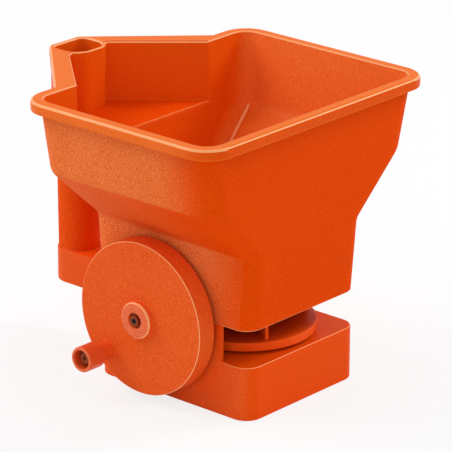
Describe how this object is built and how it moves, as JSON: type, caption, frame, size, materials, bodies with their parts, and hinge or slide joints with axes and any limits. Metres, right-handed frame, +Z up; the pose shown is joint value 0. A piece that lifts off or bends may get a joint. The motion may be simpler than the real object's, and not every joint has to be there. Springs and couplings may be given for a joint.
{
  "type": "hand spreader",
  "caption": "Hand-held crank spreader: open funnel hopper with a hollow rear grip, low geared base, side crank disc with a turning knob, vaned spinner and lever-opened gate.",
  "frame": {"origin": "on the ground under the middle of the base, where the base's two mid planes meet", "axes": "+X to the right seen from the front, -X the crank side, -Y the front where the material leaves, +Y the grip, +Z up"},
  "size_m": [0.22, 0.231, 0.201],
  "materials": {
    "shell": "fine moulded grain, satin",
    "fitting": "smooth moulded, satin gloss",
    "steel": "plain turned steel",
    "dark": "dark moulded plastic",
    "black_steel": "blackened",
    "brass": "plain turned"
  },
  "bodies": {
    "housing": {"hopper": "shell", "base_housing": "fitting", "bottom_cover": "fitting", "cover_screws": "steel", "hopper_screws": "steel", "grip_screw": "steel", "crank_axle": "steel", "hub_washer": "black_steel", "hub_screw": "black_steel", "outer_bush": "brass", "inner_bush": "brass", "bearing_cap": "dark", "cap_screws": "steel", "step_bush": "brass", "deck_bush": "brass", "shaft_seal": "dark", "gate_guide": "dark", "guide_screws": "steel", "rod_bush": "brass", "return_spring": "steel", "lever_pin": "steel"},
    "crank": {"crank_disc": "fitting", "knob_washer": "black_steel", "knob_screw": "black_steel"},
    "knob": {"knob_sleeve": "fitting"},
    "cross_drive": {"cross_shaft": "steel", "drive_pinion": "dark", "crown_pinion": "dark", "shaft_clip": "steel"},
    "spinner_drive": {"spinner_shaft": "steel", "crown_gear": "dark", "crown_pin": "steel", "spinner": "shell", "spinner_pin": "steel", "agitator": "shell", "agitator_screw": "steel"},
    "gate": {"gate_plate": "steel", "pull_rod": "steel", "rod_nuts": "steel", "link_pin": "steel"},
    "lever": {"finger_lever": "fitting"}
  },
  "joints": [
    {"name": "crank_spin", "type": "hinge", "parent": "housing", "child": "crank", "pos_m": [-0.0657, 0.009, 0.0575], "axis": [1, 0, 0], "continuous": true},
    {"name": "knob_spin", "type": "hinge", "parent": "crank", "child": "knob", "pos_m": [-0.092, 0.03704, 0.02897], "axis": [1, 0, 0], "continuous": true},
    {"name": "pinion_spin", "type": "hinge", "parent": "housing", "child": "cross_drive", "pos_m": [-0.04, -0.018, 0.02533], "axis": [1, 0, 0], "continuous": true},
    {"name": "spinner_spin", "type": "hinge", "parent": "housing", "child": "spinner_drive", "pos_m": [0, -0.018, 0.04], "axis": [0, 0, 1], "continuous": true},
    {"name": "lever_pull", "type": "hinge", "parent": "housing", "child": "lever", "pos_m": [0, 0.084, 0.138], "axis": [1, 0, 0], "range_deg": [0, 15.86]},
    {"name": "gate_slide", "type": "slide", "parent": "housing", "child": "gate", "axis": [0, 1, 0], "range_m": [0, 0.02], "stiffness_N_per_m": 250, "springref_m": -0.02, "deforming": ["return_spring"]}
  ],
  "couplings": [
    {"joint": "pinion_spin", "follows": "crank_spin", "ratio": 8},
    {"joint": "spinner_spin", "follows": "crank_spin", "ratio": -4},
    {"joint": "lever_pull", "follows": "gate_slide", "rad_per_m": 13.84}
  ]
}
